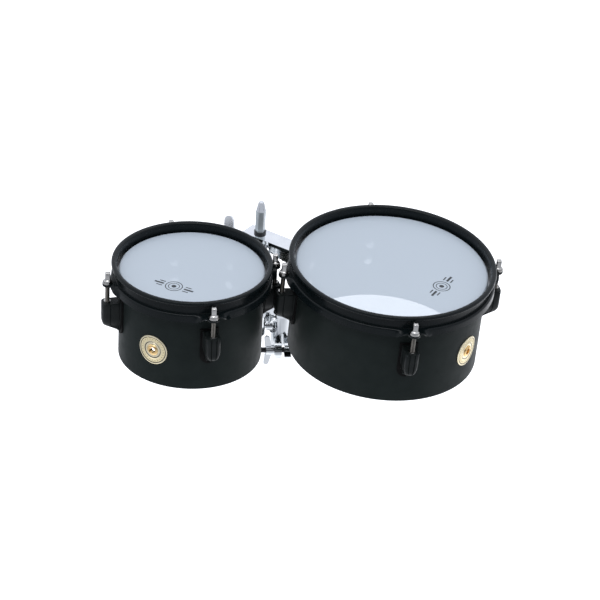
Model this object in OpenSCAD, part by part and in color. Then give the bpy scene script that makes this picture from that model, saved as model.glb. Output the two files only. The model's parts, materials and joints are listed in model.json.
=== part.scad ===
// A pair of small single-headed steel timbales on one rear mount.
// The origin is on the stand tube's axis, at mid-height of the clamp jaws.
// +Z points up along the hex mounting rod, +X from the small drum to the large one.
// -Y is the player's side. All lengths are in millimetres.

/* [Drums] */
// Outer diameter of the small shell, on the left
small_d = 152.4; // [151:0.1:153]
// Outer diameter of the large shell, on the right
large_d = 203.2; // [202:0.1:204]
// Wall thickness of the steel shells
shell_t = 1.2; // [1:0.1:1.3]
// Height from the shell's bottom edge to the top of the counterhoop
drum_h = 110.4; // [108:0.2:114]
// Gap between the two shells at the rim
shell_gap = 34.4; // [34:0.1:36]
// Lean of the large drum about its mount hinge
large_lean = 3.7; // [3:0.1:4.5]
// Depth of the playing surface below the rim
head_z = 9.4; // [9.2:0.1:9.8]

/* [Counterhoops] */
// How far the rolled lip stands out from the shell
lip_out = 8.7; // [8.5:0.1:9]
// Gap between the shell's outside and the hoop's inner wall
wall_in = 3.1; // [3:0.1:3.3]
// Thickness of the pressed hoop
hoop_t = 2.2; // [2:0.1:2.3]
// Depth of the ears' upper face below the rim
ear_z = 15.2; // [15:0.1:15.5]

/* [Lugs and tension rods] */
// Distance of a tension rod's axis from the shell
rod_out = 14.7; // [14.5:0.1:15]
// Radius of a tension rod's shank
rod_r = 2.45; // [2.4:0.05:2.45]
// Width of a lug casing
lug_w = 15.2; // [14:0.2:16]
// How far a lug casing stands out from the shell
lug_out = 20.6; // [20.4:0.1:21.5]
// Depth of a lug's top face below the rim
lug_top = 38.2; // [37.5:0.1:39]
// Azimuth of the small drum's first lug
small_lug_az = 10.9; // [8:0.1:13]
// Azimuth of the large drum's first lug
large_lug_az = 5.6; // [4:0.1:8]

/* [Badges] */
// Diameter of the round badge
badge_d = 33.6; // [28:0.1:34]
// Depth of the badge's centre below the rim
badge_z = 69.2; // [66:0.1:70]
// Azimuth of the small drum's badge
small_badge_az = -124.4; // [-128:0.1:-121]
// Azimuth of the large drum's badge
large_badge_az = -39; // [-43:0.1:-36]

/* [Drum brackets] */
// Azimuth of the small drum's bracket
small_bracket_az = 50.5; // [50:0.1:51]
// Azimuth of the large drum's bracket
large_bracket_az = 144; // [143.5:0.1:144.5]
// Distance of a bracket's hinge axis from the shell
pivot_out = 20.8; // [20.5:0.1:21]
// Depth of the small drum's hinge axis below its rim
small_pivot_z = 22; // [21.8:0.1:22.2]
// Depth of the large drum's hinge axis below its rim
large_pivot_z = 42; // [41.8:0.1:42.4]

/* [Mount plate and rod] */
// Depth of the plate's upper face below the small drum's rim
plate_top = 14; // [13.8:0.1:14.2]
// Thickness of the plate
plate_t = 4; // [3.6:0.1:4]
// Distance across the flats of the hex rod
hex_af = 9.5; // [9:0.1:9.6]
// Height of the rod's tip above the small drum's rim
rod_tip = 24; // [20:0.5:30]
// Length of the hex rod
hex_len = 190; // [186:1:196]

/* [Stand clamp] */
// Radius of the clamp's bore, for a 19 mm stand tube
tube_r = 9.6; // [9.5:0.05:9.7]
// Wall of the clamp round the tube
clamp_wall = 4; // [3.8:0.1:4.2]
// Height of the hinged jaw
jaw_h = 30; // [28:1:30]

/* [Hidden] */
$fn = 64;

// Small and large shell radii, and where the drums stand
small_r = small_d / 2;
large_r = large_d / 2;
rim_z = 160;
row_y = -98;
small_x = -107.8;
large_x = small_x + small_r + large_r + shell_gap;
lugs_per_drum = 4;
black = [0.13, 0.14, 0.14];
steel = [0.62, 0.63, 0.64];
chrome = [0.82, 0.84, 0.86];
gold = [0.83, 0.68, 0.36];
film_colour = [0.78, 0.83, 0.88];

// Depths below the rim that several pieces share
flesh_top = 17.05;
flesh_bottom = 23;
skirt_bottom = 24.5;
washer_top = 13.2;
ear_t = 2.4;
ear_r = 6.6;
gasket_t = 1.5;
lug_drop = 26;
lug_foot = 74;
lug_screw_z = [45, 66];
lug_screw_r = 2;
grommet_r = 4.5;

// Bracket feet and their screws
foot_w = 26;
foot_h = 46;
small_foot_top = 29;
large_foot_top = 37;
bracket_screw_drop = [10, 34];
bracket_screw_r = 2.5;
tongue_half = 5;
knuckle_r = 7;
ear_gap = 5.3;
hinge_ear_t = 4;
hinge_r = 3;

// The mount plate's own frame starts at the small drum's hinge axis
small_pivot_r = small_r + pivot_out;
plate_front = 4.3;
plate_depth = 20.7;
plate_left = -8;
plate_length = 70;
rod_n = 16;
rod_s = 8;
hex_r = hex_af / 2 / cos(30);
hex_play = 0.12;
boss_r = 8.5;
boss_h = 20;
wing_bolt_z = 27;
wing_lean = 20;
plate_wing_hub = 16;
plate_wing_reach = 27.5;
plate_wing_span = 16.5;
plate_wing_length = 15;

// Large drum's hinge axis after its lean, seen from the large drum's centre
large_pivot_r = (large_r + pivot_out) * cos(large_lean) + large_pivot_z * sin(large_lean);
large_pivot_up = (large_r + pivot_out) * sin(large_lean) - large_pivot_z * cos(large_lean);
lean_az = large_bracket_az - 90;

// Where the hex rod stands in the row's frame
rod_x = small_x + (small_pivot_r + rod_n) * cos(small_bracket_az) + rod_s * sin(small_bracket_az);
rod_y = row_y + (small_pivot_r + rod_n) * sin(small_bracket_az) - rod_s * cos(small_bracket_az);

// Stand clamp
clamp_r = tube_r + clamp_wall;
split_gap = 1.5;
clamp_ear_t = 7.5;
bolt_y = -22;
bolt_r = 3;
clamp_ear_r = 10;
sleeve_top = 35;
pin_y = clamp_r + 5.8;
pin_r = 2.5;
clamp_knuckle_r = 5.5;
knuckle_half = 5;
rod_boss_r = 10;
rod_boss_z = [19, 42];
rod_screw_z = 28;
rod_wing_span = 11.5;
rod_wing_length = 11;

// ---------- placing ----------

module at_small() {
  translate([small_x, row_y, rim_z])
    children();
}

module at_large() {
  translate([large_x, row_y, rim_z])
    rotate(a = large_lean, v = [cos(lean_az), sin(lean_az), 0])
      children();
}

// Once for each lug, with +X pointing out through the shell at radius r
module at_lugs(r, az) {
  for (k = [0 : lugs_per_drum - 1])
    at_wall(r, az + k * 360 / lugs_per_drum)
      children();
}

module at_wall(r, az) {
  rotate([0, 0, az])
    translate([r, 0, 0])
      children();
}

// A round bar along +X from x0 to x1
module bar_x(radius, x0, x1) {
  translate([x0, 0, 0])
    rotate([0, 90, 0])
      cylinder(r = radius, h = x1 - x0);
}

// A round bar along +Y from y0 to y1
module bar_y(radius, y0, y1) {
  translate([0, y1, 0])
    rotate([90, 0, 0])
      cylinder(r = radius, h = y1 - y0);
}

// An upright ring between two radii and two depths
module ring(r_in, r_out, z0, z1) {
  translate([0, 0, z0])
    difference() {
      cylinder(r = r_out, h = z1 - z0);
      translate([0, 0, -1])
        cylinder(r = r_in, h = z1 - z0 + 2);
    }
}

// Extrudes an outline drawn as (radial, height) to both sides of the radial plane
module radial_slab(y0, y1) {
  translate([0, y1, 0])
    rotate([90, 0, 0])
      linear_extrude(y1 - y0)
        children();
}

// ---------- drum pieces, in the drum's own frame ----------

// Steel shell: a bearing edge at the top and a turned-in bottom edge
module shell(r, lug_az, badge_az, bracket_az, foot_top) {
  inner = r - shell_t;
  color(black)
    difference() {
      rotate_extrude()
        polygon([
          [inner - 2, -drum_h], [r, -drum_h], [r, -16.2], [r - 3.2, -11.2], [r - 3.7, -head_z - 0.6],
          [r - 4.5, -head_z - 0.6], [r - 4.8, -11.6], [inner, -17], [inner, 1.2 - drum_h],
          [inner - 2, 1.2 - drum_h]
        ]);
      at_lugs(r, lug_az)
        lug_screw_holes(lug_screw_r + 0.25);
      at_wall(r, badge_az)
        translate([0, 0, -badge_z])
          bar_x(grommet_r + 0.1, -6, 6);
      at_wall(r, bracket_az)
        bracket_screw_holes(foot_top, bracket_screw_r + 0.3);
    }
}

module lug_screw_holes(radius) {
  for (z = lug_screw_z)
    translate([0, 0, -z])
      bar_x(radius, -8, 9.2);
}

module bracket_screw_holes(foot_top, radius) {
  for (drop = bracket_screw_drop)
    translate([0, 0, -foot_top - drop])
      bar_x(radius, -8, 4.2);
}

// Plastic film: flat playing surface, collar over the bearing edge, edge on the flesh hoop
module drumhead(r) {
  t = 0.3;
  color(film_colour)
    rotate_extrude()
      polygon([
        [0, -head_z], [r - 3.6, -head_z], [r - 2.9, -head_z - 0.3], [r + 0.7, -15.2],
        [r + 1, -flesh_top + 0.05 + t], [r + 5.4, -flesh_top + 0.05 + t], [r + 5.4, -flesh_top + 0.05],
        [r + 0.7, -flesh_top + 0.05], [r + 0.35, -15.4], [r - 3.2, -head_z - 0.9],
        [r - 3.8, -head_z - t], [0, -head_z - t]
      ]);
}

// Aluminium ring that holds the film's edge
module flesh_hoop(r) {
  color(steel)
    ring(r + 1.1, r + 5.6, -flesh_bottom, -flesh_top);
}

// Pressed steel hoop: rolled lip, wall, step over the flesh hoop, skirt with four ears
module counterhoop(r, lug_az) {
  wall = r + wall_in;
  lip = r + lip_out;
  step = flesh_top - 0.45;
  color(black)
    difference() {
      union() {
        rotate_extrude()
          polygon([
            [wall + 0.9, 0], [lip - 1.2, 0], [lip, -1.2], [lip, -3.6], [lip - 1.5, -3.6],
            [lip - 1.9, -hoop_t], [wall + hoop_t + 0.8, -hoop_t], [wall + hoop_t, -hoop_t - 0.8],
            [wall + hoop_t, -step + hoop_t + 1], [wall + hoop_t + 1, -step + hoop_t],
            [r + 7.4, -step + hoop_t], [r + 8.6, -step + 1], [r + 9.2, -skirt_bottom],
            [r + 7, -skirt_bottom], [r + 6.3, -step], [wall, -step], [wall, -0.9]
          ]);
        at_lugs(r, lug_az)
          hoop_ear();
      }
      at_lugs(r, lug_az)
        translate([rod_out, 0, -ear_z - 5])
          cylinder(r = rod_r + 0.65, h = 8);
    }
}

// Flat ear that a tension rod pulls down on
module hoop_ear() {
  translate([rod_out, 0, -ear_z - ear_t])
    cylinder(r = ear_r, h = ear_t);
  translate([7.4, -ear_r, -ear_z - ear_t])
    cube([rod_out - 7.4, 2 * ear_r, ear_t]);
}

// Lug casing: ribbed face, flat top, underside that slopes back to the shell
module lug(r) {
  half = lug_w / 2;
  difference() {
    intersection() {
      radial_slab(-half, half)
        polygon([
          [-2, -lug_top], [lug_out, -lug_top], [lug_out, -lug_top - lug_drop],
          [lug_out - 2, -lug_top - lug_drop - 2.4], [gasket_t, -lug_foot + 1], [-2, -lug_foot]
        ]);
      rotate([90, 0, 90])
        translate([0, 0, -5])
          linear_extrude(40)
            polygon([
              [-half, -lug_top], [half, -lug_top], [half, -lug_top - 17], [half - 1.2, -lug_top - 24],
              [half - 3.6, -lug_top - 30], [half - 5, -lug_foot], [5 - half, -lug_foot],
              [3.6 - half, -lug_top - 30], [1.2 - half, -lug_top - 24], [-half, -lug_top - 17]
            ]);
      translate([0, 0, -lug_foot])
        linear_extrude(lug_foot)
          polygon([
            [-2, -half], [lug_out - 3, -half], [lug_out, -half + 3], [lug_out, -3],
            [lug_out - 0.7, -2.5], [lug_out, -2], [lug_out, 2], [lug_out - 0.7, 2.5],
            [lug_out, 3], [lug_out, half - 3], [lug_out - 3, half], [-2, half]
          ]);
    }
    translate([-r, 0, -lug_foot - 1])
      cylinder(r = r + gasket_t + 0.05, h = lug_foot);
    translate([rod_out, 0, -60])
      cylinder(r = 3.5, h = 30);
    lug_screw_holes(lug_screw_r + 0.03);
  }
}

module lugs(r, lug_az) {
  color(black)
    at_lugs(r, lug_az)
      lug(r);
}

// Curved pad behind each lug, with a round lower end
module lug_gaskets(r, lug_az) {
  half = lug_w / 2 + 2.1;
  color([0.08, 0.08, 0.08])
    difference() {
      ring(r + 0.02, r + gasket_t, -lug_foot - 6, -lug_top + 2);
      lug_gasket_cuts(r, lug_az, half);
      at_lugs(r, lug_az)
        lug_screw_holes(lug_screw_r + 0.25);
    }
}

// What is left of the ring outside the four pads
module lug_gasket_cuts(r, lug_az, half) {
  pad_bottom = lug_foot + 4;
  difference() {
    translate([0, 0, -lug_foot - 10])
      cylinder(r = r + 5, h = lug_foot);
    at_lugs(r, lug_az)
      rotate([90, 0, 90])
        translate([0, 0, -12])
          linear_extrude(30)
            union() {
              translate([-half, -pad_bottom + half])
                square([2 * half, pad_bottom - half - lug_top + 2]);
              translate([0, -pad_bottom + half])
                circle(r = half);
            }
  }
}

// Screws that hold the lugs, with their heads inside the shell
module lug_screws(r, lug_az) {
  color(steel)
    at_lugs(r, lug_az)
      for (z = lug_screw_z)
        translate([0, 0, -z]) {
          bar_x(lug_screw_r, -shell_t - 1.4, 9);
          bar_x(3.5, -shell_t - 3.6, -shell_t - 1.2);
        }
}

module lug_washers(r, lug_az) {
  color(steel)
    at_lugs(r, lug_az)
      for (z = lug_screw_z)
        translate([0, 0, -z])
          difference() {
            bar_x(4.4, -shell_t - 1.1, -shell_t - 0.25);
            bar_x(lug_screw_r + 0.15, -8, 2);
          }
}

// Threaded nuts that sit in the tops of the lugs
module swivel_nuts(r, lug_az) {
  color(steel)
    at_lugs(r, lug_az)
      translate([rod_out, 0, -lug_top])
        difference() {
          union() {
            cylinder(r = 3.7, h = 1.5);
            translate([0, 0, -16])
              cylinder(r = 3.42, h = 16.5);
          }
          translate([0, 0, -17])
            cylinder(r = rod_r + 0.05, h = 20);
        }
}

// Key rod: square head, cone, flange, threaded shank
module tension_rod(r, az) {
  head = 5.4;
  color(steel)
    at_wall(r, az)
      translate([rod_out, 0, 0]) {
        rotate([0, 0, -az])
          translate([-head / 2, -head / 2, -10.4])
            cube([head, head, 7.6]);
        translate([0, 0, -12.1])
          cylinder(r1 = 4.5, r2 = 2.7, h = 2.1);
        translate([0, 0, -washer_top + 0.06])
          cylinder(r = 4.7, h = 1.1);
        translate([0, 0, -58])
          cylinder(r = rod_r, h = 47);
      }
}

// Two washers on each ear
module rod_washers(r, lug_az) {
  color(steel)
    at_lugs(r, lug_az)
      translate([rod_out, 0, 0]) {
        ring(rod_r + 0.3, 5.2, -washer_top - 0.95, -washer_top);
        ring(rod_r + 0.3, 5.5, -ear_z + 0.02, -washer_top - 1.05);
      }
}

// Thin round badge bent to the shell
module badge(r, az) {
  color(gold)
    intersection() {
      ring(r + 0.05, r + 0.95, -badge_z - badge_d, -badge_z + badge_d);
      at_wall(r, az)
        translate([0, 0, -badge_z])
          difference() {
            bar_x(badge_d / 2, -5, 5);
            bar_x(grommet_r + 0.1, -6, 6);
          }
    }
}

// Flanged brass air vent through the badge and shell
module vent_grommet(r, az) {
  color([0.78, 0.62, 0.3])
    at_wall(r, az)
      translate([0, 0, -badge_z])
        difference() {
          union() {
            bar_x(grommet_r, -shell_t - 1.6, 2);
            bar_x(6.4, 1.1, 2.2);
            bar_x(6, -shell_t - 1.6, -shell_t - 0.45);
          }
          bar_x(3.1, -9, 9);
        }
}

// ---------- rear mount ----------

// Cast bracket: curved foot on the shell and one hinge tongue
module bracket(r, az, foot_top, pivot_z) {
  color(chrome)
    rotate([0, 0, az])
      difference() {
        union() {
          intersection() {
            ring(r + 0.1, r + 5, -foot_top - foot_h, -foot_top);
            translate([0, -foot_w / 2, -foot_top - foot_h])
              cube([r + 10, foot_w, foot_h]);
          }
          translate([r, 0, 0])
            radial_slab(-tongue_half, tongue_half)
              bracket_side(foot_top, pivot_z);
        }
        translate([r, 0, 0])
          bracket_screw_holes(foot_top, bracket_screw_r + 0.03);
        translate([r + pivot_out, 0, -pivot_z])
          bar_y(hinge_r + 0.06, -20, 20);
      }
}

module bracket_side(foot_top, pivot_z) {
  translate([pivot_out, -pivot_z])
    circle(r = knuckle_r);
  polygon([
    [4, -foot_top - 1], [12, -foot_top - 1], [pivot_out - knuckle_r + 0.1, -pivot_z],
    [pivot_out, -pivot_z], [pivot_out + 6, -pivot_z - 3.6], [12, -foot_top - 38],
    [4, -foot_top - 42]
  ]);
}

// Curved plate inside the shell, behind the bracket's foot
module bracket_backing(r, az, foot_top) {
  color(steel)
    rotate([0, 0, az])
      difference() {
        intersection() {
          ring(r - shell_t - 2.2, r - shell_t - 0.1, -foot_top - 42, -foot_top - 2);
          translate([0, -11, -foot_top - foot_h])
            cube([r + 10, 22, foot_h]);
        }
        translate([r, 0, 0])
          bracket_screw_holes(foot_top, bracket_screw_r + 0.3);
      }
}

module bracket_screws(r, az, foot_top) {
  color(steel)
    at_wall(r, az)
      for (drop = bracket_screw_drop)
        translate([0, 0, -foot_top - drop]) {
          bar_x(bracket_screw_r, -shell_t - 2.8, 4);
          bar_x(4.6, -shell_t - 5.6, -shell_t - 2.6);
        }
}

// Bolt through two plate ears and the bracket's tongue; its head is on side = 1 or -1
module hinge_bolt(side) {
  outside = ear_gap + hinge_ear_t + 0.1;
  color(steel)
    mirror([0, side > 0 ? 0 : 1, 0]) {
      bar_y(hinge_r, -outside - 6.5, outside + 1);
      translate([0, outside + 4, 0])
        rotate([90, 0, 0])
          cylinder(r = 5.7, h = 4, $fn = 6);
    }
}

module hinge_nut(side) {
  outside = ear_gap + hinge_ear_t + 0.1;
  color(steel)
    mirror([0, side > 0 ? 0 : 1, 0])
      difference() {
        translate([0, -outside, 0])
          rotate([90, 0, 0])
            cylinder(r = 5.7, h = 5, $fn = 6);
        bar_y(hinge_r + 0.02, -outside - 9, 0);
      }
}

// Frames at the two hinge axes, fixed to the plate: +X points away from the drum
module at_small_pivot() {
  translate([small_x, row_y, rim_z - small_pivot_z])
    rotate([0, 0, small_bracket_az])
      translate([small_pivot_r, 0, 0])
        children();
}

module at_large_pivot() {
  translate([large_x, row_y, rim_z + large_pivot_up])
    rotate([0, 0, large_bracket_az])
      translate([large_pivot_r, 0, 0])
        children();
}

module hinge_ears() {
  for (y0 = [-ear_gap - hinge_ear_t, ear_gap])
    radial_slab(y0, y0 + hinge_ear_t)
      children();
}

// Chromed plate with a pair of ears for each drum and a boss for the hex rod
module mount_plate() {
  under = small_pivot_z - plate_top - plate_t;
  large_under = -plate_top - plate_t - large_pivot_up;
  color(chrome)
    difference() {
      union() {
        at_small_pivot() {
          translate([plate_front, -plate_left - plate_length, under])
            plate_slab();
          hinge_ears()
            union() {
              circle(r = knuckle_r);
              polygon([
                [0, knuckle_r], [plate_front + 0.5, knuckle_r], [plate_front + 0.5, under + 0.5],
                [22, under + 0.5], [22, 0], [8, -6.5], [0, -knuckle_r]
              ]);
            }
          translate([rod_n, -rod_s, under - boss_h])
            cylinder(r = boss_r, h = boss_h + 0.5);
        }
        at_large_pivot() {
          radial_slab(ear_gap, ear_gap + hinge_ear_t)
            union() {
              circle(r = knuckle_r);
              polygon([
                [-5, 0], [-5, large_under + 0.5], [25, large_under + 0.5], [25, 3], [9, -6.6],
                [0, -knuckle_r]
              ]);
            }
          radial_slab(-ear_gap - hinge_ear_t, -ear_gap)
            union() {
              circle(r = knuckle_r);
              polygon([[0, knuckle_r], [24, 3], [24, -5.5], [9, -6.6], [0, -knuckle_r]]);
            }
          translate([11, -ear_gap - 1, -5.5])
            cube([13, 2 * ear_gap + 2, 8.5]);
        }
      }
      at_small_pivot()
        mount_plate_cuts(under);
      at_large_pivot()
        bar_y(hinge_r + 0.02, -20, 20);
      translate([large_x, row_y, rim_z - 30])
        cylinder(r = large_r + 12.4, h = 30);
    }
}

module plate_slab() {
  cube([plate_depth, plate_length, plate_t]);
}

// Hex hole, hinge hole, tongue notch and wing bolt hole
module mount_plate_cuts(under) {
  translate([rod_n, -rod_s, -60])
    rotate([0, 0, -small_bracket_az])
      cylinder(r = hex_r + hex_play, h = 120, $fn = 6);
  bar_y(hinge_r + 0.02, -20, 20);
  bar_y(knuckle_r + 1, -ear_gap, ear_gap);
  translate([rod_n, 0, small_pivot_z - wing_bolt_z])
    bar_y(bolt_r + 0.1, -rod_s, 30);
}

// Hexagonal rod with a faceted taper at its top
module hex_rod() {
  taper = 11;
  color(chrome)
    translate([rod_x, rod_y, rim_z + rod_tip - hex_len]) {
      cylinder(r = hex_r, h = hex_len - taper, $fn = 6);
      translate([0, 0, hex_len - taper])
        cylinder(r1 = hex_r, r2 = 3, h = taper, $fn = 6);
    }
}

// Black ring that stops the rod on top of the plate
module rod_collar() {
  color([0.06, 0.06, 0.06])
    translate([rod_x, rod_y, rim_z - plate_top + 0.05])
      difference() {
        cylinder(r = 6.5, h = 2.2);
        translate([0, 0, -1])
          cylinder(r = hex_r + hex_play, h = 8, $fn = 6);
      }
}

// Two flat lobes along +X, for a wing screw that turns about X
module wings(half_span, x0, x1) {
  thickness = 3;
  lobe_r = (x1 - x0 - 4) / 2;
  lobe_y = half_span - lobe_r;
  translate([0, thickness / 2, 0])
    rotate([90, 0, 0])
      linear_extrude(thickness)
        for (side = [-1, 1])
          union() {
            polygon([
              [x0 + 1, side * 2], [x0 + 1.5, side * 5.5], [x0 + 4, side * lobe_y],
              [x1, side * lobe_y], [x1 - 1, side * 5.5], [x1 - 4, side * 2]
            ]);
            translate([(x0 + 4 + x1) / 2, side * lobe_y])
              circle(r = lobe_r);
          }
}

// Threaded wing screw with its tip at x = 0, a hub from x = hub and its wings beyond x = reach
module wing_bolt(hub, reach, half_span, wing_length) {
  color(chrome) {
    bar_x(bolt_r, 0, reach + 1);
    bar_x(5.2, hub, reach + wing_length - 4);
    wings(half_span, reach + 0.6, reach + 0.6 + wing_length);
  }
}

// Locks the hex rod in the plate's boss; it points away from the large drum
module plate_wing_bolt() {
  at_small_pivot()
    translate([rod_n, -rod_s + hex_r + 0.2, small_pivot_z - wing_bolt_z])
      rotate([0, 0, 90])
        rotate([wing_lean, 0, 0])
          wing_bolt(plate_wing_hub, plate_wing_reach, plate_wing_span, plate_wing_length);
}

// ---------- stand clamp ----------

// A knuckle of the jaw hinge between two heights
module clamp_knuckle(radius, z0, z1) {
  translate([0, pin_y, z0])
    cylinder(r = radius, h = z1 - z0);
}

// Ear for the clamp bolt, on the side of x0
module clamp_ear(x0, x1) {
  translate([0, bolt_y, 0])
    bar_x(clamp_ear_r, x0, x1);
  translate([x0, bolt_y, -clamp_ear_r])
    cube([x1 - x0, clamp_r + bolt_y < 0 ? -bolt_y - tube_r : 1, 2 * clamp_ear_r]);
}

// Sleeve, fixed jaw half, hinge knuckles, and the arm to the hex rod's boss
module clamp_body() {
  half = jaw_h / 2;
  left = -split_gap - clamp_ear_t;
  color(chrome)
    difference() {
      union() {
        translate([0, 0, half])
          cylinder(r = clamp_r, h = sleeve_top - half);
        difference() {
          translate([0, 0, -half])
            cylinder(r = clamp_r, h = jaw_h + 0.5);
          translate([-split_gap, -50, -half - 1])
            cube([100, 100, jaw_h + 1]);
        }
        difference() {
          union() {
            clamp_knuckle(clamp_knuckle_r, -half, half);
            translate([-clamp_knuckle_r, 6, -half])
              cube([clamp_knuckle_r - split_gap, pin_y - 6, jaw_h]);
          }
          clamp_knuckle(clamp_knuckle_r + 0.6, -knuckle_half - 0.2, knuckle_half + 0.2);
        }
        clamp_ear(left, -split_gap);
        translate([0, 0, rod_boss_z[0]])
          clamp_arm(sleeve_top - rod_boss_z[0]);
        translate([rod_x, rod_y, rod_boss_z[0]])
          cylinder(r = rod_boss_r, h = rod_boss_z[1] - rod_boss_z[0]);
      }
      translate([0, 0, -50])
        cylinder(r = tube_r, h = 100);
      translate([0, bolt_y, 0])
        bar_x(bolt_r + 0.3, left - 5, 5);
      clamp_knuckle(pin_r + 0.02, -half - 1, half + 1);
      translate([rod_x, rod_y, -50])
        cylinder(r = hex_r + hex_play, h = 120, $fn = 6);
      translate([rod_x, rod_y, rod_screw_z]) {
        bar_x(bolt_r + 0.1, 0, rod_boss_r + 1);
        bar_x(rod_wing_span + 0.7, rod_boss_r + 0.3, rod_boss_r + rod_wing_length + 2);
      }
    }
}

// Arched arm that goes round behind the wing screw
module clamp_arm(height) {
  linear_extrude(height)
    polygon([
      [-39, -13], [-37.5, -1], [-32, 7], [-24, 11.5], [-12, 12.5], [-4, 12.5], [-11, 0.5],
      [-20, -0.5], [-23, -7], [-30, -15]
    ]);
}

// Hinged half of the clamp, with an open slot for the bolt
module clamp_jaw() {
  half = jaw_h / 2;
  right = split_gap + clamp_ear_t;
  color(chrome)
    difference() {
      union() {
        difference() {
          translate([0, 0, -half])
            cylinder(r = clamp_r, h = jaw_h - 0.3);
          translate([-100 + split_gap, -50, -half - 1])
            cube([100, 100, jaw_h + 2]);
        }
        clamp_knuckle(clamp_knuckle_r, -knuckle_half, knuckle_half);
        translate([split_gap, 6, -knuckle_half])
          cube([clamp_knuckle_r - split_gap, pin_y - 6, 2 * knuckle_half]);
        clamp_ear(split_gap, right);
      }
      translate([0, 0, -50])
        cylinder(r = tube_r, h = 100);
      translate([0, bolt_y, 0])
        bar_x(bolt_r + 0.4, -5, right + 5);
      translate([-5, bolt_y - 20, -bolt_r - 0.4])
        cube([right + 10, 20, 2 * bolt_r + 0.8]);
      clamp_knuckle(pin_r + 0.06, -half - 1, half + 1);
      clamp_knuckle(clamp_knuckle_r + 0.6, knuckle_half + 0.2, half + 5);
      clamp_knuckle(clamp_knuckle_r + 0.6, -half - 5, -knuckle_half - 0.2);
    }
}

module clamp_hinge_pin() {
  half = jaw_h / 2;
  color(steel) {
    clamp_knuckle(pin_r, -half - 0.5, half - 0.3);
    clamp_knuckle(4, -half - 1.8, -half - 0.1);
  }
}

// Bolt with a hex head against the jaw's ear
module clamp_bolt() {
  right = split_gap + clamp_ear_t;
  color(steel)
    translate([0, bolt_y, 0]) {
      bar_x(bolt_r, -24, right + 1);
      translate([right + 0.3, 0, 0])
        rotate([0, 90, 0])
          cylinder(r = 5.9, h = 4.5, $fn = 6);
    }
}

module clamp_wing_nut() {
  left = -split_gap - clamp_ear_t - 0.3;
  color(chrome)
    translate([left, bolt_y, 0])
      rotate([0, 0, 180])
        difference() {
          union() {
            bar_x(5.5, 0, 9);
            wings(18, 1.5, 11.5);
          }
          bar_x(bolt_r + 0.05, -1, 30);
        }
}

// Locks the hex rod in the clamp's boss
module clamp_rod_wing_bolt() {
  reach = rod_boss_r - hex_r + 0.6;
  translate([rod_x + hex_r + 0.2, rod_y, rod_screw_z])
    rotate([wing_lean, 0, 0])
      wing_bolt(reach, reach, rod_wing_span, rod_wing_length);
}

// ---------- nodes ----------

at_small() shell(small_r, small_lug_az, small_badge_az, small_bracket_az, small_foot_top);  // left_shell
at_small() drumhead(small_r);  // left_drumhead
at_small() flesh_hoop(small_r);  // left_flesh_hoop
at_small() counterhoop(small_r, small_lug_az);  // left_counterhoop
at_small() lugs(small_r, small_lug_az);  // left_lugs
at_small() lug_gaskets(small_r, small_lug_az);  // left_lug_gaskets
at_small() lug_screws(small_r, small_lug_az);  // left_lug_screws
at_small() lug_washers(small_r, small_lug_az);  // left_lug_washers
at_small() swivel_nuts(small_r, small_lug_az);  // left_swivel_nuts
at_small() rod_washers(small_r, small_lug_az);  // left_rod_washers
at_small() badge(small_r, small_badge_az);  // left_badge
at_small() vent_grommet(small_r, small_badge_az);  // left_vent_grommet
at_small() bracket(small_r, small_bracket_az, small_foot_top, small_pivot_z);  // left_bracket
at_small() bracket_backing(small_r, small_bracket_az, small_foot_top);  // left_bracket_backing
at_small() bracket_screws(small_r, small_bracket_az, small_foot_top);  // left_bracket_screws
at_small_pivot() hinge_bolt(-1);  // left_hinge_bolt
at_small_pivot() hinge_nut(-1);  // left_hinge_nut
at_small() tension_rod(small_r, small_lug_az);  // left_tension_rod_1
at_small() tension_rod(small_r, small_lug_az + 90);  // left_tension_rod_2
at_small() tension_rod(small_r, small_lug_az + 180);  // left_tension_rod_3
at_small() tension_rod(small_r, small_lug_az + 270);  // left_tension_rod_4

at_large() shell(large_r, large_lug_az, large_badge_az, large_bracket_az, large_foot_top);  // right_shell
at_large() drumhead(large_r);  // right_drumhead
at_large() flesh_hoop(large_r);  // right_flesh_hoop
at_large() counterhoop(large_r, large_lug_az);  // right_counterhoop
at_large() lugs(large_r, large_lug_az);  // right_lugs
at_large() lug_gaskets(large_r, large_lug_az);  // right_lug_gaskets
at_large() lug_screws(large_r, large_lug_az);  // right_lug_screws
at_large() lug_washers(large_r, large_lug_az);  // right_lug_washers
at_large() swivel_nuts(large_r, large_lug_az);  // right_swivel_nuts
at_large() rod_washers(large_r, large_lug_az);  // right_rod_washers
at_large() badge(large_r, large_badge_az);  // right_badge
at_large() vent_grommet(large_r, large_badge_az);  // right_vent_grommet
at_large() bracket(large_r, large_bracket_az, large_foot_top, large_pivot_z);  // right_bracket
at_large() bracket_backing(large_r, large_bracket_az, large_foot_top);  // right_bracket_backing
at_large() bracket_screws(large_r, large_bracket_az, large_foot_top);  // right_bracket_screws
at_large_pivot() hinge_bolt(1);  // right_hinge_bolt
at_large_pivot() hinge_nut(1);  // right_hinge_nut
at_large() tension_rod(large_r, large_lug_az);  // right_tension_rod_1
at_large() tension_rod(large_r, large_lug_az + 90);  // right_tension_rod_2
at_large() tension_rod(large_r, large_lug_az + 180);  // right_tension_rod_3
at_large() tension_rod(large_r, large_lug_az + 270);  // right_tension_rod_4

mount_plate();
hex_rod();
rod_collar();
plate_wing_bolt();
clamp_body();
clamp_jaw();
clamp_hinge_pin();
clamp_bolt();
clamp_wing_nut();
clamp_rod_wing_bolt();
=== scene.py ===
import json
import math

import bmesh
import bpy
from mathutils import Matrix, Vector

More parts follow.
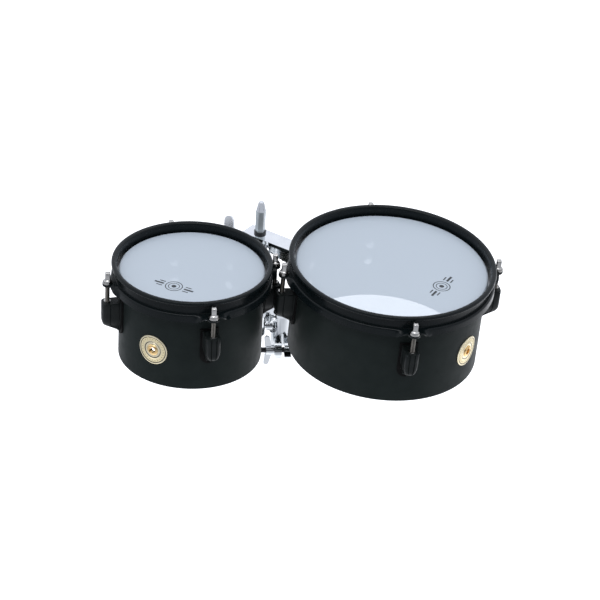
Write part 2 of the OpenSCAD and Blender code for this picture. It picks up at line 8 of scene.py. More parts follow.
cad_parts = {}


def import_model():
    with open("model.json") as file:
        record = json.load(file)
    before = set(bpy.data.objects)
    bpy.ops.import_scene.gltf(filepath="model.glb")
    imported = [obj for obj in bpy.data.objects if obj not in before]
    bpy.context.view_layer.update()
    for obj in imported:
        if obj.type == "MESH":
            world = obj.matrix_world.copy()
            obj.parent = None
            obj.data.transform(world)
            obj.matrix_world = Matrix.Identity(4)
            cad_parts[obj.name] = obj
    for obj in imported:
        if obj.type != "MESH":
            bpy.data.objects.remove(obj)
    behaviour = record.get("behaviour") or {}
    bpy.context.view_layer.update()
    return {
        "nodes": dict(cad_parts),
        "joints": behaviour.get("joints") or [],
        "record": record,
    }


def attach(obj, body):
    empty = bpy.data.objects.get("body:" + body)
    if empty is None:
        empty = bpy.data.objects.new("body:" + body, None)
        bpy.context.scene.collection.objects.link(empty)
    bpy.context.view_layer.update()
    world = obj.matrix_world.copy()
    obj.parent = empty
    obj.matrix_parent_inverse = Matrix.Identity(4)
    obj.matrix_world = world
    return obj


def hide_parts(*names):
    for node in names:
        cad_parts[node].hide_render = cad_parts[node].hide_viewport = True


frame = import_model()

NODES = frame["nodes"]
MM = 0.001


# ---------------------------------------------------------------- materials

def new_material(name):
    mat = bpy.data.materials.new(name)
    mat.use_nodes = True
    tree = mat.node_tree
    shader = next(n for n in tree.nodes if n.type == "BSDF_PRINCIPLED")
    return mat, tree, shader


def noise(tree, scale, detail=3.0, rough=0.5, stretch=None):
    coord = tree.nodes.new("ShaderNodeTexCoord")
    tex = tree.nodes.new("ShaderNodeTexNoise")
    tex.inputs["Scale"].default_value = scale
    tex.inputs["Detail"].default_value = detail
    tex.inputs["Roughness"].default_value = rough
    if stretch:
        mapping = tree.nodes.new("ShaderNodeMapping")
        mapping.inputs["Scale"].default_value = stretch
        tree.links.new(coord.outputs["Object"], mapping.inputs["Vector"])
        tree.links.new(mapping.outputs["Vector"], tex.inputs["Vector"])
    else:
        tree.links.new(coord.outputs["Object"], tex.inputs["Vector"])
    return tex.outputs["Fac"]


def ramp(tree, fac, low, high, from_low=0.35, from_high=0.65):
    node = tree.nodes.new("ShaderNodeMapRange")
    node.inputs["From Min"].default_value = from_low
    node.inputs["From Max"].default_value = from_high
    node.inputs["To Min"].default_value = low
    node.inputs["To Max"].default_value = high
    tree.links.new(fac, node.inputs["Value"])
    return node.outputs["Result"]


def blend_colour(tree, fac, first, second):
    node = tree.nodes.new("ShaderNodeMix")
    node.data_type = "RGBA"
    node.inputs["A"].default_value = (*first, 1)
    node.inputs["B"].default_value = (*second, 1)
    tree.links.new(fac, node.inputs["Factor"])
    return node.outputs["Result"]


def bump(tree, height, strength, distance):
    node = tree.nodes.new("ShaderNodeBump")
    node.inputs["Strength"].default_value = strength
    node.inputs["Distance"].default_value = distance
    tree.links.new(height, node.inputs["Height"])
    return node.outputs["Normal"]


TONE_SCALE = 60


def surface(name, dark, light, rough, metallic=0.0, rough_scale=90, grain=1400,
            grain_strength=0.15, grain_depth=0.00004, stretch=None, specular=0.5):
    """A solid finish whose colour, roughness and surface all vary a little."""
    mat, tree, shader = new_material(name)
    link = tree.links.new
    tone = ramp(tree, noise(tree, TONE_SCALE, 4), 0, 1)
    link(blend_colour(tree, tone, dark, light), shader.inputs["Base Color"])
    link(ramp(tree, noise(tree, rough_scale, 5, 0.6, stretch), *rough), shader.inputs["Roughness"])
    shader.inputs["Metallic"].default_value = metallic
    shader.inputs["Specular IOR Level"].default_value = specular
    fine = noise(tree, grain, 2, 0.5, stretch)
    link(bump(tree, fine, grain_strength, grain_depth), shader.inputs["Normal"])
    return mat


FILM_TONES = ((0.526, 0.592, 0.655), (0.541, 0.607, 0.67))
FILM_ROUGH = (0.27, 0.31)
FILM_ALPHA_DRIFT = 0.008


def film_material(name, alpha):
    """Milky frosted film that shows some of what is behind it."""
    mat, tree, shader = new_material(name)
    link = tree.links.new
    tone = ramp(tree, noise(tree, 5, 2), 0, 1, 0.2, 0.8)
    link(blend_colour(tree, tone, *FILM_TONES), shader.inputs["Base Color"])
    link(ramp(tree, noise(tree, 40, 2), *FILM_ROUGH, 0.2, 0.8), shader.inputs["Roughness"])
    thin, thick = alpha - FILM_ALPHA_DRIFT, alpha + FILM_ALPHA_DRIFT
    link(ramp(tree, noise(tree, 6, 2), thin, thick, 0.2, 0.8), shader.inputs["Alpha"])
    link(bump(tree, noise(tree, 2200, 2), 0.04, 0.00001), shader.inputs["Normal"])
    shader.inputs["Specular IOR Level"].default_value = 0.4
    return mat


POWDER = surface("black_powder_coat", (0.0122, 0.0168, 0.0160), (0.0150, 0.0200, 0.0190),
                 (0.42, 0.5), grain=1100, grain_strength=0.22, grain_depth=0.00005, specular=0.06)
HOOP = surface("black_hoop_coat", (0.0030, 0.0055, 0.0062), (0.0048, 0.0072, 0.0082), (0.22, 0.3),
               grain=1300, grain_strength=0.1, grain_depth=0.00003, specular=0.17)
LUG = surface("black_lug_coat", (0.0065, 0.009, 0.0088), (0.0105, 0.013, 0.0128), (0.34, 0.46),
              grain=1600, grain_strength=0.3, grain_depth=0.00005, specular=0.16)
GASKET = surface("black_rubber", (0.004, 0.004, 0.004), (0.007, 0.007, 0.007), (0.65, 0.85),
                 grain=2600, grain_strength=0.4, specular=0.1)
CHROME = surface("polished_chrome", (0.74, 0.76, 0.79), (0.82, 0.84, 0.86), (0.04, 0.11), 1.0,
                 grain=350, grain_strength=0.05, grain_depth=0.00003)
CASTING = surface("chromed_casting", (0.60, 0.62, 0.64), (0.70, 0.72, 0.73), (0.06, 0.14), 1.0,
                  grain=350, grain_strength=0.08, grain_depth=0.00004)
NICKEL = surface("nickel_plate", (0.44, 0.43, 0.41), (0.56, 0.55, 0.53), (0.14, 0.26), 1.0,
                 grain=900, grain_strength=0.1)
# Darker colour on each rod's shank below the flange: painted shade for the shade in the thread's
# crevices and under the hoop.
SHADED_THREAD = surface("thread_painted_shade", (0.15, 0.14, 0.125), (0.24, 0.225, 0.20), (0.26, 0.4), 1.0,
                 grain=1200, grain_strength=0.2)
SATIN_CHROME = surface("satin_chrome", (0.80, 0.82, 0.85), (0.88, 0.90, 0.92), (0.26, 0.36), 1.0,
                       grain=700, grain_strength=0.08, grain_depth=0.00003)
ZINC = surface("zinc_plate", (0.46, 0.47, 0.49), (0.58, 0.59, 0.60), (0.22, 0.38), 1.0,
               grain=1200, grain_strength=0.2)
ALLOY = surface("satin_alloy", (0.56, 0.57, 0.58), (0.66, 0.67, 0.68), (0.3, 0.45), 1.0,
                stretch=(1, 1, 30), grain=500, grain_strength=0.2)
HEX = surface("hex_plate", (0.47, 0.53, 0.55), (0.66, 0.71, 0.74), (0.3, 0.42), 0.5,
              stretch=(1, 1, 0.06), rough_scale=700, grain=900, grain_strength=0.5,
              grain_depth=0.0001)
DARK_STEEL = surface("black_oxide", (0.03, 0.03, 0.032), (0.05, 0.05, 0.053), (0.3, 0.45), 1.0,
                     grain=1500)
BRASS = surface("satin_brass", (0.78, 0.69, 0.47), (0.87, 0.78, 0.57), (0.2, 0.36), 1.0,
                grain=1500, grain_strength=0.15)
BADGE_DARK = surface("badge_enamel", (0.030, 0.024, 0.016), (0.05, 0.04, 0.026), (0.3, 0.45),
                     grain=2000)
EYELET = surface("polished_brass", (0.78, 0.52, 0.22), (0.88, 0.64, 0.32), (0.14, 0.24), 1.0,
                 grain=1500, grain_strength=0.1)
BRASS_PALE = surface("badge_field", (0.80, 0.69, 0.43), (0.90, 0.79, 0.51), (0.36, 0.5), 0.8,
                     grain=2400, grain_strength=0.35)
INK = surface("grey_ink", (0.035, 0.04, 0.045), (0.06, 0.065, 0.07), (0.5, 0.6), grain=2500,
              specular=0.25)
COLLAR = surface("black_collar", (0.012, 0.012, 0.013), (0.022, 0.022, 0.023), (0.22, 0.36),
                 grain=1500)
FILM = film_material("frosted_film", 0.8)
FILM_BACK = film_material("film_underside", 0.1)

SLOT_FINISH = {
    "shell_paint": POWDER, "hoop_paint": HOOP, "lug_paint": LUG, "gasket_rubber": GASKET,
    "head_film": FILM, "flesh_alloy": ALLOY, "rod_steel": NICKEL, "washer_steel": NICKEL,
    "screw_steel": ZINC, "badge_brass": BRASS, "grommet_brass": BRASS,
    "bracket_chrome": CHROME, "bolt_steel": NICKEL, "dark_steel": DARK_STEEL,
    "backing_steel": LUG, "plate_chrome": CHROME, "hex_chrome": HEX, "collar_black": COLLAR,
    "clamp_chrome": CHROME, "wing_chrome": CHROME,
}
SUBPARTS = {part["node"]: part for part in frame["record"]["subparts"]}
for node, part in SUBPARTS.items():
    mesh = NODES[node].data
    for i in range(len(mesh.materials)):
        mesh.materials[i] = SLOT_FINISH[part["material_slot"]]


# ---------------------------------------------------------------- drum frames

# Each drum's pieces are in millimetres, with z measured from the rim.
RODS_PER_DRUM = 4
ROD_OUT = 14.7
JOINT_BELOW_RIM = 30


class Drum:
    """A drum's own frame, from its tension rods' joints: rim centre, axis and first rod.

    Its azimuths are given in degrees and its lengths in millimetres.
    """

    def __init__(self, side, rod_azimuth, badge_azimuth, mark_azimuth, mark_distance):
        self.side = side
        self.body = side + "_drum"
        self.rod_azimuth = rod_azimuth
        self.badge_azimuth = math.radians(badge_azimuth)
        self.mark_azimuth = math.radians(mark_azimuth)
        self.mark_distance = mark_distance
        turns = [j for j in frame["joints"] if j["name"].startswith(side + "_tension_rod")]
        spots = [Vector(j["pos_m"]) for j in turns]
        axis = Vector(turns[0]["axis"]).normalized()
        middle = sum(spots, Vector()) / len(spots)
        centre = middle + axis * JOINT_BELOW_RIM * MM
        first = (spots[0] - middle).normalized()
        x_dir = Matrix.Rotation(math.radians(-rod_azimuth), 4, axis) @ first
        y_dir = axis.cross(x_dir)
        turn = Matrix((x_dir, y_dir, axis)).transposed().to_4x4()
        self.matrix = Matrix.Translation(centre) @ turn
        self.radius = (spots[0] - middle).length / MM - ROD_OUT

    def rods(self):
        step = 360 / RODS_PER_DRUM
        return [math.radians(self.rod_azimuth + step * k) for k in range(RODS_PER_DRUM)]


SMALL = Drum("left", 10.9, badge_azimuth=-124.4, mark_azimuth=-121.0, mark_distance=40.8)
LARGE = Drum("right", 5.6, badge_azimuth=-39.0, mark_azimuth=-34.5, mark_distance=59.2)


# ---------------------------------------------------------------- mesh helpers

def finish_mesh(name, bm, mats, matrix, smooth=35):
    """Makes an object from bm, which is in millimetres, and shades it smooth up to an angle."""
    mesh = bpy.data.meshes.new(name)
    bmesh.ops.recalc_face_normals(bm, faces=bm.faces)
    bm.to_mesh(mesh)
    bm.free()
    scale = Matrix.Scale(MM, 4)
    mesh.transform(matrix @ scale)
    for mat in mats:
        mesh.materials.append(mat)
    obj = bpy.data.objects.new(name, mesh)
    bpy.context.scene.collection.objects.link(obj)
    if smooth:
        mesh.shade_smooth()
        mesh.set_sharp_from_angle(angle=math.radians(smooth))
    return obj


def grid(bm, rows, close_u=True, close_v=True, mat=None):
    """Faces between rows of points; rows are lists of 3D points of one length."""
    verts = [[bm.verts.new(p) for p in row] for row in rows]
    n, m = len(verts), len(verts[0])
    for i in range(n if close_u else n - 1):
        for j in range(m if close_v else m - 1):
            a, b = verts[i], verts[(i + 1) % n]
            face = bm.faces.new((a[j], b[j], b[(j + 1) % m], a[(j + 1) % m]))
            if mat:
                face.material_index = mat(i, j)
    return verts


def fillet(points, radii, steps):
    """A polyline whose inner corners are rounded, always with the same number of points."""
    out = [points[0]]
    for i in range(1, len(points) - 1):
        corner = Vector(points[i])
        back = Vector(points[i - 1]) - corner
        ahead = Vector(points[i + 1]) - corner
        cut = min(radii[i - 1], back.length * 0.49, ahead.length * 0.49)
        start = corner + back.normalized() * cut
        end = corner + ahead.normalized() * cut
        for k in range(steps + 1):
            t = k / steps
            out.append(tuple((1 - t) ** 2 * start + 2 * t * (1 - t) * corner + t * t * end))
    out.append(points[-1])
    return out


def thicken(line, thickness):
    """A closed outline round an open 2D line: a round start and a square end."""
    points = [Vector(p) for p in line]
    left, right = [], []
    for i, point in enumerate(points):
        before = points[max(i - 1, 0)]
        after = points[min(i + 1, len(points) - 1)]
        along = (after - before).normalized()
        offset = Vector((-along.y, along.x)) * thickness / 2
        left.append(point + offset)
        right.append(point - offset)
    start = points[0]
    outward = (start - points[1]).normalized() * thickness / 2
    cap = [start + (right[0] - start) * math.cos(t) + outward * math.sin(t)
           for t in (math.pi / 4, math.pi / 2, 3 * math.pi / 4)]
    return [tuple(p) for p in left + right[::-1] + cap]


def polar(radius, azimuth, z):
    return (radius * math.cos(azimuth), radius * math.sin(azimuth), z)


def smoothstep(t):
    t = min(max(t, 0.0), 1.0)
    return t * t * (3 - 2 * t)


def circle(count):
    """The cosine and sine of each of count equal steps round a circle."""
    turns = (2 * math.pi * k / count for k in range(count))
    return [(math.cos(a), math.sin(a)) for a in turns]


def lathe(bm, profile, segments, x=0.0, y=0.0, mat=None):
    """Turns a (radius, z) line about the vertical through x, y and closes its ends."""
    rows = [[(x + r * c, y + r * s, z) for r, z in profile] for c, s in circle(segments)]
    verts = grid(bm, rows, True, False, mat)
    for end in (0, -1):
        bm.faces.new([row[end] for row in verts])


# ---------------------------------------------------------------- drumheads

HEAD_Z = -9.4
FILM_T = 0.22
COLLAR_FOOT = -17.0
CENTRE = 0.05


def film(drum):
    """Film disc with its collar over the bearing edge, frosted on its upper side."""
    r = drum.radius
    under = HEAD_Z - FILM_T
    top = [(CENTRE, HEAD_Z), (r - 8, HEAD_Z), (r - 1.6, -9.42), (r - 0.5, -9.6),
           (r + 0.3, -10.3), (r + 0.75, -11.4), (r + 0.9, -13), (r + 0.95, COLLAR_FOOT)]
    back = [(r + 0.7, COLLAR_FOOT), (r + 0.65, -13), (r + 0.5, -11.5), (r + 0.1, -10.5),
            (r - 0.7, -9.8), (r - 1.8, -9.65), (r - 8, under), (CENTRE, under)]
    bm = bmesh.new()
    lathe(bm, top + back, 160, mat=lambda i, j: 0 if j < len(top) - 1 else 1)
    obj = finish_mesh(drum.side + "_film", bm, [FILM, FILM_BACK], drum.matrix, 40)
    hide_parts(drum.side + "_drumhead")
    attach(obj, drum.body)


# ---------------------------------------------------------------- counterhoops

# The wall and the bend are measured out from the shell, and slopes in degrees.
HOOP_T = 2.1
HOOP_WALL = 4.15
HOOP_BEND = 7.6
HOOP_RIM = -1.05
HOOP_LEDGE = -15.45
EAR_R = 6.6
EAR_DROP = 0.55
EAR_SLOPE = -4
SHORTEST_EAR = 6.2
SKIRT_SLOPE = -88
SKIRT_LENGTH = 8.0
FOLD_START = 23.0
FOLD_LENGTH = 16.0
EAR_MIDDLE = 13
TIP_STEPS = 6


def mix(a, b, share):
    return a * (1 - share) + b * share


def hoop_section(r, arc):
    """The pressed hoop's outline, arc millimetres from the nearest tension rod.

    The skirt hangs down between the rods and folds out into an ear at each of them.
    """
    fold = smoothstep((FOLD_START - arc) / FOLD_LENGTH)
    bulge = math.sqrt(max(EAR_R ** 2 - arc ** 2, 0.0))
    ear_length = max(ROD_OUT - HOOP_BEND + bulge - HOOP_T / 2, SHORTEST_EAR)
    length = mix(SKIRT_LENGTH, ear_length, fold)
    angle = math.radians(mix(SKIRT_SLOPE, EAR_SLOPE, fold))
    bend = (r + HOOP_BEND, HOOP_LEDGE - EAR_DROP * fold)
    tip = (bend[0] + length * math.cos(angle), bend[1] + length * math.sin(angle))
    lip = [(r + HOOP_BEND + 0.15, -3.0), (r + HOOP_BEND - 0.05, HOOP_RIM)]
    wall = [(r + HOOP_WALL, HOOP_RIM), (r + HOOP_WALL, HOOP_LEDGE)]
    line = fillet(lip + wall + [bend, tip], [1.3, 1.7, 1.5, 1.3], 5)
    last, before = Vector(line[-1]), Vector(line[-2])
    flat = [tuple(before.lerp(last, k / TIP_STEPS)) for k in range(1, TIP_STEPS)]
    return thicken(line[:-1] + flat + [line[-1]], HOOP_T)


def counterhoop(drum):
    """Sections all round the drum, every half degree at a rod and every two between them."""
    r = drum.radius
    steps = []
    for rod in drum.rods():
        steps += [rod + math.radians(0.5 * k) for k in range(-36, 37)]
        steps += [rod + math.radians(18 + 2 * k) for k in range(1, 27)]
    rows = []
    for azimuth in steps:
        near = min(abs((azimuth - rod + math.pi) % (2 * math.pi) - math.pi)
                   for rod in drum.rods())
        section = hoop_section(r, near * (r + EAR_MIDDLE))
        rows.append([polar(x, azimuth, z) for x, z in section])
    bm = bmesh.new()
    grid(bm, rows)
    obj = finish_mesh(drum.side + "_hoop_pressing", bm, [HOOP], drum.matrix, 50)
    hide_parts(drum.side + "_counterhoop")
    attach(obj, drum.body)


# ---------------------------------------------------------------- lugs

# Height, reach from the shell and half width at the top, the chin and the foot.
LUG_TOP, LUG_OUT, LUG_HALF = -38.2, 20.6, 7.6
LUG_CHIN, CHIN_OUT, CHIN_HALF = -66.6, 16.2, 4.7
LUG_FOOT, FOOT_OUT, FOOT_HALF = -73.0, 4.6, 3.7
FOOT_STEPS = 7


def lug_outline(out, half, inset):
    """One level of a lug casting: grooved sides, chamfered corners and a ribbed face."""
    h, o = half - inset, out - inset
    side = [(1.0, h), (2.6, h), (3.1, h - 0.5), (3.6, h)]
    groove = 0.62 * out
    if groove > 6:
        side += [(groove - 0.5, h), (groove, h - 0.6), (groove + 0.5, h)]
    else:
        side += [(3.7, h), (3.8, h), (3.9, h)]
    side += [(max(o - 3.4, 4.0), h), (max(o - 1.6, 4.2), h - 0.9)]
    side += [(max(o - 0.45, 4.4), h - 2.3)]
    ribs = ((0.1, 0.46), (0.85, 0.37), (0.05, 0.28), (0.0, 0.0))
    face = [(max(o - depth, 4.5), share * h) for depth, share in ribs]
    half_line = side + face
    return half_line + [(x, -y) for x, y in half_line[-2::-1]]


def lug_levels():
    """(z, outward reach, half width, inset) from the top edge down to the foot."""
    rows = [(LUG_TOP - drop, LUG_OUT, LUG_HALF, inset)
            for drop, inset in ((0, 0.7), (0.25, 0.25), (0.8, 0.0))]
    for z, pull, half in ((-46, 0, LUG_HALF), (-52, 0, LUG_HALF), (-56, 0, 7.5),
                          (-59, 0.05, 7.15), (-61.5, 0.3, 6.6), (-63.5, 0.9, 5.9),
                          (-65.2, 2.2, 5.2)):
        rows.append((z, LUG_OUT - pull, half, 0.0))
    for k in range(FOOT_STEPS + 1):
        t = k / FOOT_STEPS
        rows.append((mix(LUG_CHIN, LUG_FOOT, t), mix(CHIN_OUT, FOOT_OUT, t),
                     mix(CHIN_HALF, FOOT_HALF, t), 0.0))
    return rows


def lugs(drum):
    bm = bmesh.new()
    for rod in drum.rods():
        turn = Matrix.Rotation(rod, 4, "Z") @ Matrix.Translation((drum.radius, 0, 0))
        rows = []
        for z, out, half, inset in lug_levels():
            rows.append([turn @ Vector((x, y, z)) for x, y in lug_outline(out, half, inset)])
        verts = grid(bm, rows, False, True)
        bm.faces.new(verts[0])
        bm.faces.new(verts[-1])
    obj = finish_mesh(drum.side + "_lug_castings", bm, [LUG], drum.matrix, 32)
    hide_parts(drum.side + "_lugs")
    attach(obj, drum.body)


# ---------------------------------------------------------------- tension rods

KEY_TOP, KEY_FOOT, KEY_WIDTH, KEY_CORNER = -2.8, -9.6, 5.3, 0.75
SHANK_R, CREST_R, ROOT_R = 2.35, 2.46, 2.24
SEAT_Z, ROD_TIP = -13.14, -58.0
THREAD_START, THREAD_TURNS, PITCH = -20.6, 47, 0.8
BRIGHT_ROWS = 8


def rod_profile():
    """Cone, flange and threaded shank of a tension rod, from the top down."""
    cone = [(2.55, -9.9), (2.75, -10.4), (3.3, -11.1), (4.1, -11.9)]
    flange = [(4.6, -12.15), (4.75, -12.5), (4.7, -13.0), (4.4, SEAT_Z)]
    line = cone + flange + [(SHANK_R, SEAT_Z), (SHANK_R, THREAD_START + 0.1)]
    for k in range(THREAD_TURNS):
        z = THREAD_START - k * PITCH
        line += [(CREST_R, z), (ROOT_R, z - PITCH / 2)]
    return line + [(2.2, ROD_TIP + 0.4), (1.7, ROD_TIP)]


def square_head(bm, x, y):
    """A key head: upright sides, rounded corners and a crowned top."""
    h, c = KEY_WIDTH / 2, KEY_CORNER
    levels = ((KEY_FOOT - 1.2, 1.12), (KEY_FOOT, 1.03), (KEY_FOOT + 0.8, 1.0),
              (KEY_TOP - 0.7, 1.0), (KEY_TOP - 0.25, 0.9), (KEY_TOP, 0.7))
    rows = []
    for z, scale in levels:
        row = []
        for quarter in range(4):
            a = math.pi / 2 * quarter
            for u, v in ((h, -h + c), (h, h - c), (h - c * 0.3, h - c * 0.3)):
                row.append((x + scale * (u * math.cos(a) - v * math.sin(a)),
                            y + scale * (u * math.sin(a) + v * math.cos(a)), z))
        rows.append(row)
    verts = grid(bm, rows, False, True)
    bm.faces.new(verts[0])
    bm.faces.new(verts[-1])


def tension_rods(drum):
    for k, azimuth in enumerate(drum.rods()):
        bm = bmesh.new()
        x, y, _ = polar(drum.radius + ROD_OUT, azimuth, 0)
        # Rows below the flange take the shank's painted shade; the cone and flange keep the
        # nickel.
        lathe(bm, rod_profile(), 32, x, y, lambda i, j: 1 if j >= BRIGHT_ROWS else 0)
        square_head(bm, x, y)
        name = f"{drum.side}_key_rod_{k + 1}"
        obj = finish_mesh(name, bm, [NICKEL, SHADED_THREAD], drum.matrix, 40)
        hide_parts(f"{drum.side}_tension_rod_{k + 1}")
        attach(obj, f"{drum.side}_tension_rod_{k + 1}_body")


# ---------------------------------------------------------------- badges and head marks

BADGE_R = 16.85
BADGE_Z = -69.2
BADGE_FACE = 0.9
STUDS, STUD_CIRCLE, STUD_R, STUD_SIDES = 24, 12.6, 0.45, 10
STUD_TIP, STUD_FOOT = 1.12, 0.8


def badge_rings():
    """(radius, height above the badge's face, material index) from the middle out."""
    rings = [(4.7, -0.5, 0), (4.9, 0.0, 0), (8.6, 0.0, 0), (8.8, -0.22, 1), (9.4, -0.22, 1),
             (9.6, 0.08, 0), (10.2, 0.12, 0), (10.5, -0.05, 2), (14.2, -0.05, 2), (14.4, 0.1, 1),
             (15.1, 0.1, 1), (15.3, 0.22, 0)]
    edge = [(-0.7, 0.22), (-0.2, 0.0), (-0.05, -0.5), (-0.05, -0.75)]
    return rings + [(BADGE_R + inset, height, 0) for inset, height in edge]


def on_wall(drum, out, across, up):
    """A point by the badge: out from the shell, across it along the arc, and up."""
    azimuth = drum.badge_azimuth + across / drum.radius
    return polar(drum.radius + out, azimuth, BADGE_Z + up)


def badge(drum):
    rings = badge_rings()
    bm = bmesh.new()
    rows = [[on_wall(drum, BADGE_FACE + height, r * c, r * s) for r, height, _ in rings]
            for c, s in circle(96)]
    grid(bm, rows, True, False, lambda i, j: rings[j][2])
    for c, s in circle(STUDS):
        stud(bm, drum, STUD_CIRCLE * c, STUD_CIRCLE * s)
    mats = [BRASS, BADGE_DARK, BRASS_PALE]
    obj = finish_mesh(drum.side + "_badge_plate", bm, mats, drum.matrix)
    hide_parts(drum.side + "_badge")
    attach(obj, drum.body)


def stud(bm, drum, across, up):
    """A small dark cone on the badge."""
    tip = bm.verts.new(on_wall(drum, STUD_TIP, across, up))
    ring = [bm.verts.new(on_wall(drum, STUD_FOOT, across + STUD_R * c, up + STUD_R * s))
            for c, s in circle(STUD_SIDES)]
    for k in range(STUD_SIDES):
        face = bm.faces.new((tip, ring[k], ring[(k + 1) % STUD_SIDES]))
        face.material_index = 1


def grommet(drum):
    """Rolled brass eyelet of the air vent, as (radius, distance out from the shell)."""
    bore = [(3.1, -2.6), (3.1, 0.6)]
    front = [(3.3, 1.7), (3.9, 2.25), (4.6, 2.3), (5.6, 1.9), (6.3, 1.3), (6.4, 1.0)]
    neck = [(4.45, 0.9), (4.45, -1.6)]
    back = [(5.4, -1.7), (6.0, -2.2), (5.6, -2.7), (4.2, -2.9)]
    profile = bore + front + neck + back
    bm = bmesh.new()
    rows = [[on_wall(drum, out, r * c, r * s) for r, out in profile] for c, s in circle(40)]
    grid(bm, rows, True, True)
    obj = finish_mesh(drum.side + "_vent_eyelet", bm, [EYELET], drum.matrix)
    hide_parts(drum.side + "_vent_grommet")
    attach(obj, drum.body)


INK_Z = HEAD_Z + 0.04
MARK_RINGS = ((8.4, 9.4), (5.4, 6.2), (0.01, 2.6))
BAR_START, BAR_SPACING = 11.8, 4.2
LONG_BAR, SHORT_BAR = (22.5, 1.3), (18.5, 0.7)


def head_mark(drum):
    """A generic printed mark: rings round a dot, and three bars on each side."""
    x, y, _ = polar(drum.mark_distance, drum.mark_azimuth, INK_Z)
    turn = drum.mark_azimuth + math.pi / 2

    def place(u, v):
        return (x + u * math.cos(turn) - v * math.sin(turn),
                y + u * math.sin(turn) + v * math.cos(turn), INK_Z)

    bm = bmesh.new()
    for ring in MARK_RINGS:
        rows = [[place(r * c, r * s) for r in ring] for c, s in circle(64)]
        grid(bm, rows, True, False)
    for side in (-1, 1):
        for row, (far, half) in ((0, LONG_BAR), (1, SHORT_BAR), (-1, SHORT_BAR)):
            v = row * BAR_SPACING
            corners = ((BAR_START, -half), (far, -half), (far, half), (BAR_START, half))
            bm.faces.new([bm.verts.new(place(side * u, v + w)) for u, w in corners])
    obj = finish_mesh(drum.side + "_head_mark", bm, [INK], drum.matrix, 0)
    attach(obj, drum.body)


# ---------------------------------------------------------------- softened castings

SOFT_STEPS = 3
SHARP_ANGLE = math.radians(28)


def softened(node, width, mat):
    """A copy of a CAD casting with its sharp edges rounded over, width in millimetres."""
    bm = bmesh.new()
    bm.from_mesh(NODES[node].data)
    bmesh.ops.remove_doubles(bm, verts=bm.verts, dist=0.00001)
    bmesh.ops.dissolve_limit(bm, angle_limit=math.radians(1.0), verts=bm.verts, edges=bm.edges)
    mesh = bpy.data.meshes.new(node + "_casting")
    bm.to_mesh(mesh)
    bm.free()
    mesh.materials.clear()
    mesh.materials.append(mat)
    obj = bpy.data.objects.new(node + "_casting", mesh)
    bpy.context.scene.collection.objects.link(obj)
    mod = obj.modifiers.new("soft edges", "BEVEL")
    mod.width = width * MM
    mod.segments = SOFT_STEPS
    mod.limit_method = "ANGLE"
    mod.angle_limit = SHARP_ANGLE
    mod.use_clamp_overlap = True
    mod.harden_normals = True
    mesh.shade_smooth()
    mesh.set_sharp_from_angle(angle=SHARP_ANGLE)
    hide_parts(node)
    bodies = frame["record"]["behaviour"]["bodies"]
    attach(obj, next(body for body, nodes in bodies.items() if node in nodes))
    return obj


def mount():
    """The plate, wing screws, brackets and clamp, and the hex rod with its bright taper."""
    softened("mount_plate", 0.9, CHROME)
    softened("plate_wing_bolt", 0.8, SATIN_CHROME)
    for node in ("clamp_body", "clamp_jaw", "clamp_wing_nut", "clamp_rod_wing_bolt",
                 "left_bracket", "right_bracket"):
        softened(node, 0.9, CASTING)
    rod = softened("hex_rod", 0.2, HEX)
    rod.data.materials.append(CHROME)
    for face in rod.data.polygons:
        face.material_index = 1 if face.normal.z > 0.1 else 0


for drum in (SMALL, LARGE):
    for piece in (film, counterhoop, lugs, tension_rods, badge, grommet, head_mark):
        piece(drum)
mount()


# ---------------------------------------------------------------- stage

# The stage is in metres.
PAPER_Z, PAPER_HALF = -0.25, 20.0
# Painted light and shade on the paper: its white part glows, and its grey part is painted shade.
PAPER_WHITE, PAPER_SHADE_GREY = (0.91, 0.91, 0.91), (0.58, 0.59, 0.60)
PAPER_PAINTED_GLOW = 0.62
PATCH_MIDDLE, PATCH_HALF, PATCH_FADE = 0.15, 0.51, 0.2


def math_node(tree, operation, *values):
    """A math node's result for values that are sockets or numbers."""
    node = tree.nodes.new("ShaderNodeMath")
    node.operation = operation
    for socket, value in zip(node.inputs, values):
        if isinstance(value, float):
            socket.default_value = value
        else:
            tree.links.new(value, socket)
    return node.outputs["Value"]


def paper():
    """White paper that glows with painted light behind and below the drums, and is grey painted
    shade in front of them and at their sides.
    """
    mat, tree, shader = new_material("paper_painted_light_and_shade")
    link = tree.links.new
    coord = tree.nodes.new("ShaderNodeTexCoord")
    split = tree.nodes.new("ShaderNodeSeparateXYZ")
    link(coord.outputs["Object"], split.inputs["Vector"])
    shifted = math_node(tree, "SUBTRACT", split.outputs["X"], PATCH_MIDDLE)
    offset = math_node(tree, "ABSOLUTE", shifted)
    beside = ramp(tree, offset, 1, 0, PATCH_HALF, PATCH_HALF + PATCH_FADE)
    behind = ramp(tree, split.outputs["Y"], 0, 1, 1.2, 1.8)
    past_front = ramp(tree, split.outputs["Y"], 0, 1, -0.5, -0.2)
    # Share of painted light: 1 where the paper glows white, 0 where it is grey painted shade.
    painted_lit_share = math_node(tree, "MULTIPLY", math_node(tree, "MAXIMUM", beside, behind), past_front)
    grain = ramp(tree, noise(tree, 3, 2), -0.01, 0.01)
    tone = math_node(tree, "ADD", painted_lit_share, grain)
    link(blend_colour(tree, tone, PAPER_SHADE_GREY, PAPER_WHITE), shader.inputs["Base Color"])
    shader.inputs["Roughness"].default_value = 0.9
    shader.inputs["Specular IOR Level"].default_value = 0.0
    shader.inputs["Emission Color"].default_value = (1, 1, 1, 1)
    # Painted light: the white part of the paper glows.
    link(ramp(tree, painted_lit_share, 0.0, PAPER_PAINTED_GLOW, 0, 1), shader.inputs["Emission Strength"])
    return mat


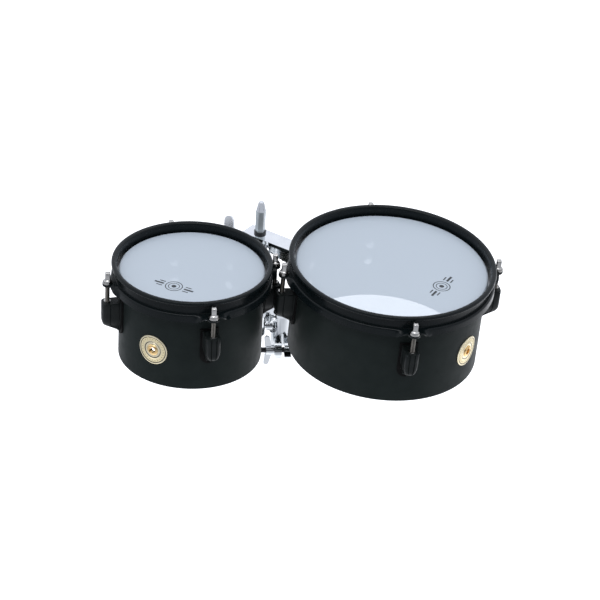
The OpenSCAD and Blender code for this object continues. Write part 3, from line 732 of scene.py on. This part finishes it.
def floor():
    mesh = bpy.data.meshes.new("floor")
    signs = ((-1, -1), (1, -1), (1, 1), (-1, 1))
    corners = [(x * PAPER_HALF, y * PAPER_HALF, PAPER_Z) for x, y in signs]
    mesh.from_pydata(corners, [], [(0, 1, 2, 3)])
    mesh.materials.append(paper())
    obj = bpy.data.objects.new("floor", mesh)
    bpy.context.scene.collection.objects.link(obj)


AIM = Vector((0, 0, 0.1))


def softbox(name, at, width, height, power):
    light = bpy.data.lights.new(name, "AREA")
    light.shape = "RECTANGLE"
    light.size = width
    light.size_y = height
    light.energy = power
    obj = bpy.data.objects.new(name, light)
    obj.location = at
    obj.rotation_euler = (AIM - Vector(at)).to_track_quat("-Z", "Y").to_euler()
    bpy.context.scene.collection.objects.link(obj)


CAMERA_AT = Vector((-322.6, -2967.3, 1882.7)) * MM
CAMERA_DOWN, CAMERA_YAW, CAMERA_ROLL = 31.527, 6.567, -2.975
CAMERA_LENS, SENSOR_WIDTH = 191.86, 36


def camera():
    """The photograph's view: 31.5 degrees down, with a long lens and a slight roll."""
    down_angle, yaw, roll = (math.radians(a) for a in (CAMERA_DOWN, CAMERA_YAW, CAMERA_ROLL))
    reach = math.cos(down_angle)
    look = Vector((math.sin(yaw) * reach, math.cos(yaw) * reach, -math.sin(down_angle)))
    level = Vector((math.cos(yaw), -math.sin(yaw), 0))
    down = look.cross(level)
    right = math.cos(roll) * level + math.sin(roll) * down
    below = -math.sin(roll) * level + math.cos(roll) * down
    data = bpy.data.cameras.new("camera")
    data.sensor_width = SENSOR_WIDTH
    data.lens = CAMERA_LENS
    data.clip_end = 20
    obj = bpy.data.objects.new("camera", data)
    turn = Matrix((right, -below, -look)).transposed().to_4x4()
    obj.matrix_world = Matrix.Translation(CAMERA_AT) @ turn
    bpy.context.scene.collection.objects.link(obj)
    bpy.context.scene.camera = obj


STUDIO_COLOUR = (0.89, 0.92, 1, 1)
STUDIO_DIM, STUDIO_BRIGHT = 0.13, 1.1
DIM_UNTIL, BRIGHT_FROM = -0.95, -0.5


def world():
    """A white studio that is dark only towards the viewer."""
    sky = bpy.data.worlds.new("studio")
    sky.use_nodes = True
    tree = sky.node_tree
    link = tree.links.new
    back = tree.nodes["Background"]
    coord = tree.nodes.new("ShaderNodeTexCoord")
    split = tree.nodes.new("ShaderNodeSeparateXYZ")
    link(coord.outputs["Generated"], split.inputs["Vector"])
    shade = tree.nodes.new("ShaderNodeMapRange")
    shade.interpolation_type = "SMOOTHSTEP"
    shade.inputs["From Min"].default_value = DIM_UNTIL
    shade.inputs["From Max"].default_value = BRIGHT_FROM
    shade.inputs["To Min"].default_value = STUDIO_DIM
    shade.inputs["To Max"].default_value = STUDIO_BRIGHT
    link(split.outputs["Y"], shade.inputs["Value"])
    back.inputs["Color"].default_value = STUDIO_COLOUR
    link(shade.outputs["Result"], back.inputs["Strength"])
    bpy.context.scene.world = sky


floor()
softbox("key", (-0.3, -1.0, 1.65), 1.4, 0.3, 8)
softbox("top", (0.5, 0.7, 1.9), 1.2, 0.6, 4)
camera()
world()
bpy.context.scene.view_settings.view_transform = "Standard"
